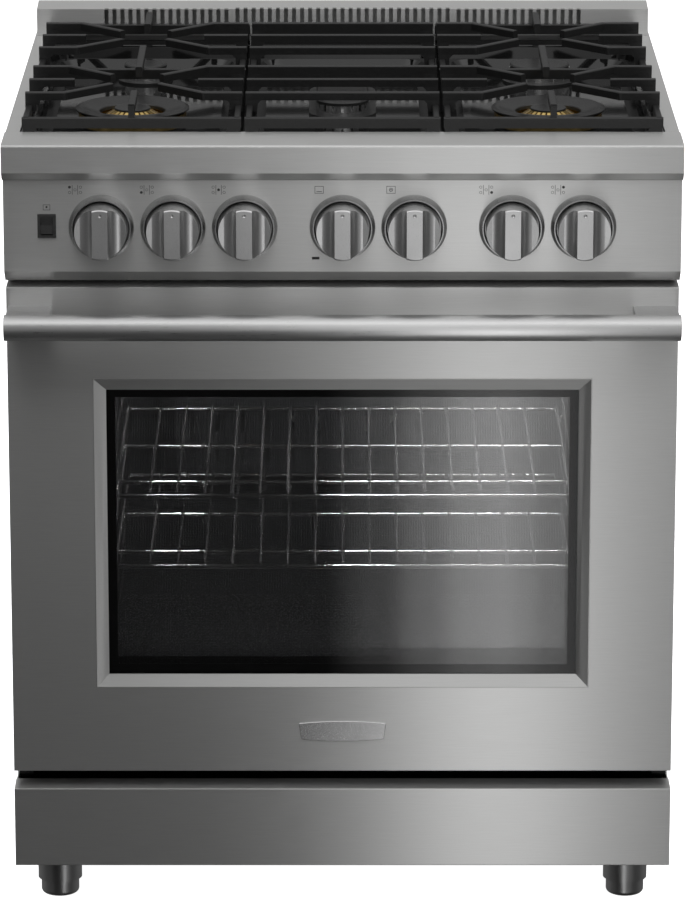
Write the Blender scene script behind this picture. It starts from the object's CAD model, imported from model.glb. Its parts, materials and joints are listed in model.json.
import json
import math

import bmesh
import bpy
from mathutils import Matrix, Vector


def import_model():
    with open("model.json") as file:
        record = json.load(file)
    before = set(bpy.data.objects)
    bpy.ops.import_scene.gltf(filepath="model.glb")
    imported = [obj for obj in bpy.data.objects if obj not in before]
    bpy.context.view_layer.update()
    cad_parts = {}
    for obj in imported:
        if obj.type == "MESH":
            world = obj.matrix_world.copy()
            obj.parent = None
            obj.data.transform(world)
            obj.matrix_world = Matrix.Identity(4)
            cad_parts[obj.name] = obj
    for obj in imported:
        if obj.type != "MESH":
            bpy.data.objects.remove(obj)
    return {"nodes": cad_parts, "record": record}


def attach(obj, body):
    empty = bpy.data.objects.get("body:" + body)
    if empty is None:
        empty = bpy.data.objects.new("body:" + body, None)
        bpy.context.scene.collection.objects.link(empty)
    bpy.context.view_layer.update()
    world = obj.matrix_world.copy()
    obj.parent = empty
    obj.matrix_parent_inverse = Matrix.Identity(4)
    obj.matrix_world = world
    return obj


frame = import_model()
bpy.context.view_layer.update()
NODES = frame["nodes"]

# Lengths are in millimetres until they reach Blender, as (x, depth, z) points. Depth counts from the
# front face of the cooktop's front trim.
FRONT_Y = -330.5
WELL_Z = 882.0
METRE = 1000.0
# The (x, depth) of each burner.
BURNERS = {
    "front_left": (-242.0, 232.0),
    "front_right": (237.0, 232.0),
    "rear_left": (-237.0, 511.0),
    "rear_right": (237.0, 511.0),
    "centre": (0.0, 366.0),
}
# The x of each burner knob.
BURNER_KNOBS = {
    "rear_left": -269.0,
    "front_left": -189.0,
    "centre": -109.0,
    "front_right": 189.0,
    "rear_right": 269.0,
}


def at(x, depth, z):
    """A point of the row frame in metres, from (x, depth, z) in millimetres."""
    return Vector((x, FRONT_Y + depth, z)) / METRE


# ---- shader building ---------------------------------------------------------------------------
class Shader:
    """One procedural material around a Principled node."""

    def __init__(self, name):
        self.material = bpy.data.materials.new(name)
        self.material.use_nodes = True
        self.tree = self.material.node_tree
        self.bsdf = self.tree.nodes["Principled BSDF"]
        self.output = self.tree.nodes["Material Output"]
        self.where = self.add("ShaderNodeTexCoord").outputs["Object"]

    def add(self, kind, settings=None, **inputs):
        """A new node with its settings and its inputs, where an underscore stands for a space."""
        node = self.tree.nodes.new(kind)
        for key, value in (settings or {}).items():
            setattr(node, key, value)
        for key, value in inputs.items():
            self.feed(node, key.replace("_", " "), value)
        return node

    def feed(self, node, key, value):
        """Links or sets one input, found by its name or by its number written as text."""
        socket = node.inputs[int(key) if key.isdigit() else key]
        if isinstance(value, bpy.types.NodeSocket):
            self.tree.links.new(value, socket)
        else:
            socket.default_value = value

    def set(self, **inputs):
        for key, value in inputs.items():
            self.feed(self.bsdf, key.replace("_", " "), value)
        return self

    def scaled(self, scale):
        """Object coordinates in metres, multiplied by one number or by one for each axis."""
        scale = scale if isinstance(scale, tuple) else (scale,) * 3
        return self.add("ShaderNodeMapping", Vector=self.where, Scale=scale).outputs["Vector"]

    def noise(self, scale, detail=2.0, roughness=0.55):
        node = self.add("ShaderNodeTexNoise", Vector=self.scaled(scale), Scale=1.0, Detail=detail)
        node.inputs["Roughness"].default_value = roughness
        return node.outputs["Fac"]

    def span(self, value, low, high, start=0.0, end=1.0):
        """The value carried from the span start..end to low..high, and held at both ends."""
        node = self.add("ShaderNodeMapRange", Value=value)
        node.inputs["From Min"].default_value = start
        node.inputs["From Max"].default_value = end
        node.inputs["To Min"].default_value = low
        node.inputs["To Max"].default_value = high
        return node.outputs["Result"]

    def math(self, operation, a, b=0.0):
        node = self.add("ShaderNodeMath", {"operation": operation})
        self.feed(node, "0", a)
        self.feed(node, "1", b)
        return node.outputs["Value"]

    def cells(self, scale):
        return self.add("ShaderNodeTexVoronoi", Vector=self.scaled(scale), Scale=1.0)

    def position(self):
        """The x, y and z of object space, in metres."""
        return self.add("ShaderNodeSeparateXYZ", Vector=self.where)

    def wave(self, value, per_metre):
        return self.math("SINE", self.math("MULTIPLY", value, per_metre))

    def mix(self, amount, a, b):
        """Colour a where the amount is 0, and b where it is 1."""
        node = self.add("ShaderNodeMix", {"data_type": "RGBA"})
        self.feed(node, "0", amount)
        self.feed(node, "6", a)
        self.feed(node, "7", b)
        return node.outputs[2]

    def bump(self, height, strength, distance):
        node = self.add("ShaderNodeBump", Height=height, Strength=strength, Distance=distance)
        self.set(Normal=node.outputs["Normal"])

    def replace_surface(self, node):
        """Puts another shader in the Principled node's place."""
        self.feed(self.output, "Surface", node.outputs[0])
        self.tree.nodes.remove(self.bsdf)


def grey(value, tint=(1.0, 1.0, 1.0)):
    """An opaque grey, optionally tinted."""
    return tuple(value * t for t in tint) + (1.0,)


def shade(colour, factor):
    """The colour made darker or lighter."""
    return tuple(min(1.0, c * factor) for c in colour[:3]) + (1.0,)


# ---- materials ---------------------------------------------------------------------------------
def brushed(name, colour, rough, aniso=0.85):
    """Metal with fine grinding lines along X, which spread reflections across the lines."""
    s = Shader(name)
    fine = s.noise((28.0, 900.0, 900.0), detail=3.0, roughness=0.6)
    s.set(Base_Color=s.mix(s.span(fine, 0.0, 1.0, 0.3, 0.7), shade(colour, 0.97), shade(colour, 1.03)))
    s.set(Roughness=s.span(fine, rough - 0.03, rough + 0.03, 0.3, 0.7), Metallic=1.0, Anisotropic=aniso)
    tangent = s.add("ShaderNodeTangent", {"direction_type": "RADIAL", "axis": "X"})
    s.set(Tangent=tangent.outputs["Tangent"])
    s.bump(fine, 0.3, 0.00001)
    return s.material


def satin_metal(name, colour, rough, grain=1500.0):
    """Metal with no clear direction: turned, blasted or plated."""
    s = Shader(name)
    fine = s.noise(grain)
    blotch = s.noise(22.0, detail=3.0)
    s.set(Base_Color=s.mix(s.span(blotch, 0.0, 1.0, 0.3, 0.7), shade(colour, 0.93), shade(colour, 1.05)))
    s.set(Roughness=s.span(fine, rough - 0.04, rough + 0.04, 0.25, 0.75), Metallic=1.0)
    s.bump(fine, 0.3, 0.000006)
    return s.material


def enamel(name, colour, rough, speck=0.0):
    """Fired glass enamel: deep gloss over a slightly rippled sheet, with optional light specks."""
    s = Shader(name)
    ripple = s.noise(55.0)
    dust = s.noise(700.0, detail=1.0)
    base = s.mix(ripple, shade(colour, 0.8), shade(colour, 1.2))
    if speck:
        spots = s.span(s.cells(430.0).outputs["Distance"], 1.0, 0.0, 0.10, 0.20)
        thin = s.span(s.noise(120.0), 0.0, 1.0, 0.48, 0.62)
        base = s.mix(s.math("MULTIPLY", spots, thin), base, grey(speck))
    s.set(Base_Color=base, Roughness=s.span(dust, rough * 0.8, rough * 1.2, 0.3, 0.7))
    s.set(Specular_IOR_Level=0.5, Coat_Weight=0.2, Coat_Roughness=0.05)
    s.bump(ripple, 0.5, 0.00002)
    return s.material


def casting(name, colour, rough, grain=900.0, depth=0.00005):
    """Sand-cast iron under matt enamel."""
    s = Shader(name)
    coarse = s.noise(grain * 0.3, detail=3.0, roughness=0.6)
    fine = s.noise(grain, detail=3.0, roughness=0.65)
    both = s.math("ADD", s.math("MULTIPLY", coarse, 0.6), s.math("MULTIPLY", fine, 0.4))
    s.set(Base_Color=s.mix(s.span(both, 0.0, 1.0, 0.35, 0.65), shade(colour, 0.75), shade(colour, 1.35)))
    s.set(Roughness=s.span(fine, rough - 0.08, rough + 0.08, 0.3, 0.7), Specular_IOR_Level=0.45)
    s.bump(both, 0.8, depth)
    return s.material


def paint(name, colour, rough):
    """Powder paint with a faint orange-peel surface."""
    s = Shader(name)
    peel = s.noise(380.0)
    tone = s.noise(6.0)
    s.set(Base_Color=s.mix(tone, shade(colour, 0.94), shade(colour, 1.06)))
    s.set(Roughness=s.span(peel, rough - 0.05, rough + 0.05, 0.3, 0.7))
    s.bump(peel, 0.5, 0.00006)
    return s.material


def galvanised(name):
    """Zinc coating with faint crystal spangle."""
    s = Shader(name)
    spangle = s.add("ShaderNodeRGBToBW", Color=s.cells(75.0).outputs["Color"]).outputs["Val"]
    s.set(Base_Color=s.mix(spangle, grey(0.50), grey(0.66, (0.98, 1.0, 1.03))), Metallic=1.0)
    s.set(Roughness=s.span(spangle, 0.34, 0.5))
    s.bump(s.noise(300.0), 0.3, 0.00004)
    return s.material


SCREEN_PITCH = 1.9


def pane(name, tint, screen=0.0):
    """Clear sheet of glass: straight view through, mirror reflections by Fresnel, optional ink screen."""
    s = Shader(name)
    clear = s.add("ShaderNodeBsdfTransparent", Color=tint).outputs["BSDF"]
    if screen:
        turn = 2 * math.pi / (SCREEN_PITCH / METRE)
        parts = s.position()
        lines = s.math("MAXIMUM", s.wave(parts.outputs["X"], turn), s.wave(parts.outputs["Z"], turn))
        ink = s.math("MULTIPLY", s.span(lines, 0.0, 1.0, 0.35, 0.75), screen)
        dark = s.add("ShaderNodeBsdfDiffuse", Color=grey(0.02)).outputs["BSDF"]
        printed = s.add("ShaderNodeMixShader", **{"0": ink, "1": clear, "2": dark})
        clear = printed.outputs["Shader"]
    waves = s.noise(7.0, detail=1.0)
    gloss = s.add("ShaderNodeBsdfGlossy", Color=grey(1.0), Roughness=s.span(waves, 0.01, 0.03))
    fresnel = s.add("ShaderNodeFresnel", IOR=1.52).outputs["Fac"]
    both = s.add("ShaderNodeMixShader", **{"0": fresnel, "1": clear, "2": gloss.outputs["BSDF"]})
    s.replace_surface(both)
    return s.material


def plastic(name, colour, rough):
    """Moulded plastic, ceramic or printed ink: an even colour with a very fine grain."""
    s = Shader(name)
    grain = s.noise(1400.0)
    tone = s.noise(30.0)
    s.set(Base_Color=s.mix(tone, shade(colour, 0.85), shade(colour, 1.15)))
    s.set(Roughness=s.span(grain, rough * 0.85, rough * 1.15, 0.3, 0.7))
    s.bump(grain, 0.25, 0.00003)
    return s.material


def braid(name):
    """Woven glass-fibre sleeve: two sets of strands that cross on the slant."""
    strands = 1900.0
    s = Shader(name)
    parts = s.position()
    slant = s.math("ADD", parts.outputs["X"], parts.outputs["Z"])
    other = s.math("SUBTRACT", parts.outputs["X"], parts.outputs["Z"])
    weave = s.math("MULTIPLY", s.wave(slant, strands), s.wave(other, strands))
    s.set(Base_Color=s.mix(s.span(weave, 0.0, 1.0, -1.0, 1.0), grey(0.11), grey(0.30)), Roughness=0.85)
    s.set(Sheen_Weight=0.2)
    s.bump(weave, 0.8, 0.0004)
    return s.material


def wool(name):
    """Loose mineral-wool blanket."""
    s = Shader(name)
    tufts = s.noise(90.0, detail=6.0, roughness=0.7)
    s.set(Base_Color=s.mix(tufts, (0.52, 0.42, 0.22, 1), (0.85, 0.78, 0.55, 1)), Roughness=0.95)
    s.bump(tufts, 0.9, 0.002)
    return s.material


def lamp_lens(name):
    """Ribbed translucent glass."""
    s = Shader(name)
    ribs = s.wave(s.position().outputs["X"], 2200.0)
    s.set(Base_Color=s.mix(s.span(ribs, 0, 1, -1, 1), (0.75, 0.74, 0.68, 1), (0.9, 0.89, 0.84, 1)))
    s.set(Roughness=0.12, Transmission_Weight=0.35)
    s.bump(ribs, 0.5, 0.0003)
    return s.material


STEEL = grey(0.66, (1.0, 1.0, 0.99))
MATERIALS = {
    "brushed_stainless": brushed("steel_brushed", STEEL, 0.40),
    "bezel_stainless": brushed("steel_bezel", STEEL, 0.44, aniso=0.6),
    "handle_stainless": brushed("steel_handle", grey(0.64), 0.30),
    "knob_metal": satin_metal("steel_knob", grey(0.62), 0.30),
    "ring_metal": satin_metal("steel_ring", grey(0.42), 0.26),
    "badge_metal": satin_metal("steel_badge", grey(0.66), 0.25),
    "side_paint": paint("paint_side", grey(0.34), 0.42),
    "galvanised": galvanised("zinc_coated"),
    "dark_paint": paint("paint_black", grey(0.02), 0.5),
    "black_enamel": enamel("enamel_black", grey(0.004), 0.07),
    "oven_enamel": enamel("enamel_oven", grey(0.04, (0.97, 1.0, 1.06)), 0.25, speck=0.22),
    "cast_iron": casting("iron_grate", grey(0.008), 0.38),
    "cap_enamel": casting("iron_cap", grey(0.010), 0.32, grain=1300.0, depth=0.00002),
    "burner_metal": satin_metal("burner_alloy", grey(0.82), 0.22),
    "ceramic_white": plastic("ceramic", grey(0.70, (1.0, 0.98, 0.94)), 0.2),
    "rack_chrome": satin_metal("chrome_wire", grey(0.85), 0.14),
    "tube_steel": satin_metal("tube_tinted", (0.36, 0.31, 0.26, 1), 0.4),
    "foot_metal": satin_metal("steel_foot", grey(0.42), 0.33),
    "window_glass": pane("glass_window", grey(0.97)),
    "screen_glass": pane("glass_screen", grey(0.93), screen=0.8),
    "lamp_glass": lamp_lens("glass_lamp"),
    "gasket_braid": braid("gasket"),
    "blanket": wool("mineral_wool"),
    "black_plastic": plastic("plastic_gloss", grey(0.012), 0.15),
    "gland_plastic": plastic("plastic_matt", grey(0.02), 0.5),
    "valve_alloy": satin_metal("alloy_cast", grey(0.55), 0.45, grain=400.0),
    "zinc_steel": satin_metal("zinc_plate", (0.60, 0.59, 0.54, 1), 0.32),
}
slot_of = {part["node"]: part["material_slot"] for part in frame["record"]["subparts"]}
for node, thing in NODES.items():
    for index in range(len(thing.material_slots)):
        thing.material_slots[index].material = MATERIALS[slot_of[node]]


# How far each kind of burner's enamelled base rises over its well.
BASE_RISE = {"front": 4.9, "rear": 2.7, "centre": 4.1}


def paint_crowns():
    """Brass crowns on the two front burners, bright alloy on the others, and enamelled bases."""
    heads = NODES["burner_heads"]
    heads.data.materials.append(satin_metal("burner_brass", (0.80, 0.58, 0.22, 1), 0.24))
    heads.data.materials.append(MATERIALS["cap_enamel"])
    brass, black = len(heads.data.materials) - 2, len(heads.data.materials) - 1
    for face in heads.data.polygons:
        middle = face.center * METRE
        x, depth = middle.x, middle.y - FRONT_Y
        nearest = min(BURNERS, key=lambda name: math.dist(BURNERS[name], (x, depth)))
        kind = nearest.split("_")[0]
        if middle.z < WELL_Z + BASE_RISE[kind]:
            face.material_index = black
        elif kind == "front":
            face.material_index = brass


paint_crowns()


# ---- mesh building -----------------------------------------------------------------------------
def piece(name, mesh, body, material):
    """Adds a visual piece to a CAD body, made from a bmesh in the row frame."""
    data = bpy.data.meshes.new(name)
    mesh.normal_update()
    mesh.to_mesh(data)
    mesh.free()
    thing = bpy.data.objects.new(name, data)
    bpy.context.scene.collection.objects.link(thing)
    data.materials.append(material)
    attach(thing, body)


def slab(mesh, x, depth, z):
    """Adds a box between three (low, high) pairs."""
    made = bmesh.ops.create_cube(mesh, size=1.0)["verts"]
    low, high = at(x[0], depth[0], z[0]), at(x[1], depth[1], z[1])
    middle, size = (low + high) / 2, high - low
    for vertex in made:
        vertex.co = middle + Vector(vertex.co[i] * size[i] for i in range(3))


def disc(mesh, centre, radius, thickness, segments, inner=0.0):
    """Adds a short solid disc that faces the front, or a ring where an inner radius is given."""
    rings = []
    for depth in (0.0, thickness):
        for r in (radius, inner) if inner else (radius,):
            ring = []
            for step in range(segments):
                turn = 2 * math.pi * step / segments
                point = (centre[0] + r * math.cos(turn), centre[1] + depth, centre[2] + r * math.sin(turn))
                ring.append(mesh.verts.new(at(*point)))
            rings.append(ring)
    pairs = [(0, 1), (1, 3), (3, 2), (2, 0)] if inner else [(0, 1)]
    for a, b in pairs:
        for step in range(segments):
            after = (step + 1) % segments
            mesh.faces.new((rings[a][step], rings[a][after], rings[b][after], rings[b][step]))
    if not inner:
        mesh.faces.new(rings[0])
        mesh.faces.new(rings[1][::-1])
    bmesh.ops.recalc_face_normals(mesh, faces=mesh.faces)


# ---- printed icons on the control panel --------------------------------------------------------
PANEL_FACE = 12.0
INK_THICKNESS = 0.06
ON_PANEL = (PANEL_FACE - INK_THICKNESS, PANEL_FACE)
ICON_Z = 855.0
ICON_LEFT_OF_KNOB = 29.0
MARK_RADIUS, MARK_HOLE = 1.6, 1.2
MARK_X, MARK_Z = 6.1, 3.0
DIVIDER_X, DIVIDER_HALF, DIVIDER_RISE = 3.05, 0.25, 5.5
MARKS = {
    "rear_left": (-MARK_X, MARK_Z),
    "rear_right": (MARK_X, MARK_Z),
    "centre": (0.0, 0.0),
    "front_left": (-MARK_X, -MARK_Z),
    "front_right": (MARK_X, -MARK_Z),
}
ink = plastic("panel_ink", grey(0.015), 0.4)


def dot(mesh, x, z, radius, segments, inner=0.0):
    """Adds a printed dot, or a printed ring, to the panel."""
    disc(mesh, (x, ON_PANEL[0], z), radius, INK_THICKNESS, segments, inner)


def burner_icon(name, x, burner):
    """Five burner marks between two lines, the knob's own burner filled in."""
    mesh = bmesh.new()
    for spot, (dx, dz) in MARKS.items():
        dot(mesh, x + dx, ICON_Z + dz, MARK_RADIUS, 16, 0.0 if spot == burner else MARK_HOLE)
    for dx in (-DIVIDER_X, DIVIDER_X):
        across = (x + dx - DIVIDER_HALF, x + dx + DIVIDER_HALF)
        slab(mesh, across, ON_PANEL, (ICON_Z - DIVIDER_RISE, ICON_Z + DIVIDER_RISE))
    piece(name, mesh, "root", ink)


def outline_icon(x, z, width, height, line=0.5):
    """Generic box mark of four printed lines."""
    mesh = bmesh.new()
    half, rise = width / 2, height / 2
    for side in (-1, 1):
        across = sorted((x + side * half, x + side * (half - line)))
        upward = sorted((z + side * rise, z + side * (rise - line)))
        slab(mesh, across, ON_PANEL, (z - rise, z + rise))
        slab(mesh, (x - half, x + half), ON_PANEL, upward)
    return mesh


def lamp_icon(x, z):
    """A cavity outline with a lamp in it, above the rocker."""
    mesh = outline_icon(x, z, 8.0, 6.4)
    dot(mesh, x, z + 0.4, 1.2, 16)
    piece("icon_lamp", mesh, "root", ink)


def oven_icon(x, z):
    """An oven outline with a heating bar."""
    mesh = outline_icon(x, z, 10.0, 8.4)
    slab(mesh, (x - 3.0, x + 3.0), ON_PANEL, (z - 2.4, z - 1.7))
    piece("icon_oven", mesh, "root", ink)


def fan_icon(x, z):
    """An oven outline with a fan's ring and hub."""
    mesh = outline_icon(x, z, 10.0, 8.4)
    dot(mesh, x, z, 2.2, 20, 1.6)
    dot(mesh, x, z, 0.8, 12)
    piece("icon_fan", mesh, "root", ink)


for burner, x in BURNER_KNOBS.items():
    burner_icon("icon_" + burner, x - ICON_LEFT_OF_KNOB, burner)
lamp_icon(-330.0, 835.0)
oven_icon(-26.0, ICON_Z)
fan_icon(54.0, ICON_Z)


# ---- glass border ------------------------------------------------------------------------------
FRIT_X = 276.0
FRIT_Z = (276.0, 630.0)
FRIT_BAND = 19.0
FRIT_DEPTH = (34.1, 34.2)


def frit_ink():
    """Matt black ceramic ink."""
    s = Shader("glass_frit").set(Roughness=0.7, Specular_IOR_Level=0.0)
    s.set(Base_Color=s.mix(s.noise(40.0), grey(0.002), grey(0.004)))
    return s.material


def frit():
    """The flat band printed round the back of the door's glass."""
    mesh = bmesh.new()
    low, high = FRIT_Z
    inside = (low + FRIT_BAND, high - FRIT_BAND)
    slab(mesh, (-FRIT_X, FRIT_X), FRIT_DEPTH, (low, inside[0]))
    slab(mesh, (-FRIT_X, FRIT_X), FRIT_DEPTH, (inside[1], high))
    slab(mesh, (-FRIT_X, FRIT_BAND - FRIT_X), FRIT_DEPTH, inside)
    slab(mesh, (FRIT_X - FRIT_BAND, FRIT_X), FRIT_DEPTH, inside)
    piece("window_frit", mesh, "door", frit_ink())


frit()


# ---- floor, light and camera -------------------------------------------------------------------
# From here on, lengths are in metres unless at() is called.
CAMERA_PLACE = (0.0, -5.9935, 2.0756)
CAMERA_PITCH = 15.0
CAMERA_LENS = 208.2
FLOOR_SIZE = 80.0


def floor():
    """A white floor that lights the range from below."""
    s = Shader("floor_plain")
    cloud = s.noise(0.6)
    s.set(Base_Color=s.mix(cloud, grey(0.90), grey(0.93)), Roughness=0.9)
    s.set(Emission_Color=grey(1.0), Emission_Strength=1.0)
    bpy.ops.mesh.primitive_plane_add(size=FLOOR_SIZE, location=(0.0, 0.0, 0.0))
    plane = bpy.context.object
    plane.name = "floor"
    plane.data.materials.append(s.material)
    plane.visible_glossy = False


CARD_Y = -1.33
CARD_WIDTH = 2.4
CARD_LOW_Z = (-0.6, 0.56)
CARD_HIGH_Z = (0.56, 1.7)
# Each stop of a card is (x, level).
BAND_LOW = [
    (-0.03, 0.015),
    (0.05, 0.17),
    (0.115, 0.5),
    (0.171, 0.88),
    (0.217, 1.0),
    (0.248, 0.85),
    (0.275, 0.65),
    (0.354, 0.25),
    (0.5, 0.12),
]
BAND_HIGH = [
    (-0.4, 0.25),
    (-0.15, 0.45),
    (-0.03, 0.85),
    (0.1, 1.0),
    (0.25, 0.9),
    (0.4, 0.6),
    (0.6, 0.4),
]


def reflector(name, z, stops, strength):
    """A card that only reflections see, as bright along X as its stops say: the band on the steel."""
    s = Shader(name)
    ramp = s.add("ShaderNodeValToRGB", Fac=s.span(s.position().outputs["X"], 0.0, 1.0, -1.0, 1.0))
    ramp.color_ramp.interpolation = "EASE"
    elements = ramp.color_ramp.elements
    for x, level in stops:
        elements.new((x + 1.0) / 2.0).color = grey(level)
    elements[0].color = grey(stops[0][1])
    elements[-1].color = grey(stops[-1][1])
    glow = s.add("ShaderNodeEmission", Color=ramp.outputs["Color"], Strength=strength)
    s.replace_surface(glow)
    place = (0.0, CARD_Y, (z[0] + z[1]) / 2)
    bpy.ops.mesh.primitive_plane_add(size=1.0, location=place, rotation=(math.pi / 2, 0, 0))
    card = bpy.context.object
    card.name = name
    card.data.transform(Matrix.Diagonal((CARD_WIDTH, z[1] - z[0], 1.0, 1.0)))
    card.data.materials.append(s.material)
    card.visible_camera = False
    card.visible_diffuse = False
    card.visible_transmission = False
    card.visible_shadow = False


# Each stop of the world is (the direction's z or y, level): the sky in front of the range, the sky
# behind it, and how far the one gives way to the other.
SKY_FRONT = [(-1, 0.03), (-0.5, 0.03), (-0.4, 0.09), (0.3, 0.09), (0.55, 0.8), (0.75, 1.9), (1, 0.7)]
SKY_BACK = [(-1, 0.1), (-0.1, 0.2), (0.15, 0.20), (0.5, 0.28), (1, 0.7)]
FRONT_TO_BACK = [(-1, 0.0), (-0.25, 0.0), (0.35, 1.0), (1, 1.0)]


def world():
    """A studio whose brightness depends on the direction alone."""
    made = bpy.data.worlds.new("studio")
    made.use_nodes = True
    bpy.context.scene.world = made
    nodes, links = made.node_tree.nodes, made.node_tree.links
    where = nodes.new("ShaderNodeTexCoord").outputs["Generated"]
    parts = nodes.new("ShaderNodeSeparateXYZ")
    links.new(where, parts.inputs[0])

    def ramp(value, stops):
        """The level at each value from -1 to 1."""
        spread = nodes.new("ShaderNodeMapRange")
        spread.inputs["From Min"].default_value = -1.0
        spread.inputs["From Max"].default_value = 1.0
        links.new(value, spread.inputs["Value"])
        node = nodes.new("ShaderNodeValToRGB")
        links.new(spread.outputs["Result"], node.inputs["Fac"])
        elements = node.color_ramp.elements
        elements[0].position, elements[0].color = 0.0, grey(stops[0][1])
        elements[1].position, elements[1].color = 1.0, grey(stops[-1][1])
        for position, level in stops[1:-1]:
            elements.new((position + 1.0) / 2.0).color = grey(level)
        return node.outputs["Color"]

    front = ramp(parts.outputs["Z"], SKY_FRONT)
    back = ramp(parts.outputs["Z"], SKY_BACK)
    amount = ramp(parts.outputs["Y"], FRONT_TO_BACK)
    blend = nodes.new("ShaderNodeMix")
    blend.data_type = "RGBA"
    links.new(amount, blend.inputs[0])
    links.new(front, blend.inputs[6])
    links.new(back, blend.inputs[7])
    links.new(blend.outputs[2], nodes["Background"].inputs["Color"])
    nodes["Background"].inputs["Strength"].default_value = 1.0


# Each light is its name, place, target, size, power and whether reflections see it.
LIGHTS = [
    ("key", (1.6, -2.2, 3.4), (0.0, 0.0, 0.6), (2.4, 2.4), 90.0, False),
    ("top", (0.0, 0.6, 3.6), (0.0, 0.0, 0.9), (3.0, 2.0), 60.0, False),
    ("oven_right", at(130, 110, 645), at(60, 400, 300), (0.30, 0.03), 2.0, True),
    ("oven_left", at(-200, 110, 600), at(-260, 400, 420), (0.05, 0.05), 0.5, True),
]


def area_light(name, place, target, size, power, mirrored):
    """A rectangular light turned to its target."""
    light = bpy.data.lights.new(name, "AREA")
    light.shape = "RECTANGLE"
    light.size, light.size_y = size
    light.energy = power
    lamp = bpy.data.objects.new(name, light)
    bpy.context.scene.collection.objects.link(lamp)
    lamp.location = place
    lamp.visible_glossy = mirrored
    lamp.rotation_mode = "QUATERNION"
    lamp.rotation_quaternion = (Vector(target) - Vector(place)).to_track_quat("-Z", "Y")


def camera():
    """The photograph's camera."""
    data = bpy.data.cameras.new("camera")
    data.sensor_width = 36.0
    data.lens = CAMERA_LENS
    data.clip_end = 200.0
    viewer = bpy.data.objects.new("camera", data)
    bpy.context.scene.collection.objects.link(viewer)
    viewer.location = CAMERA_PLACE
    viewer.rotation_euler = (math.radians(90.0 - CAMERA_PITCH), 0.0, 0.0)
    bpy.context.scene.camera = viewer


floor()
reflector("card_low", CARD_LOW_Z, BAND_LOW, 1.8)
reflector("card_high", CARD_HIGH_Z, BAND_HIGH, 0.8)
world()
camera()
for settings in LIGHTS:
    area_light(*settings)
bpy.context.scene.view_settings.view_transform = "Standard"

bpy.context.view_layer.update()
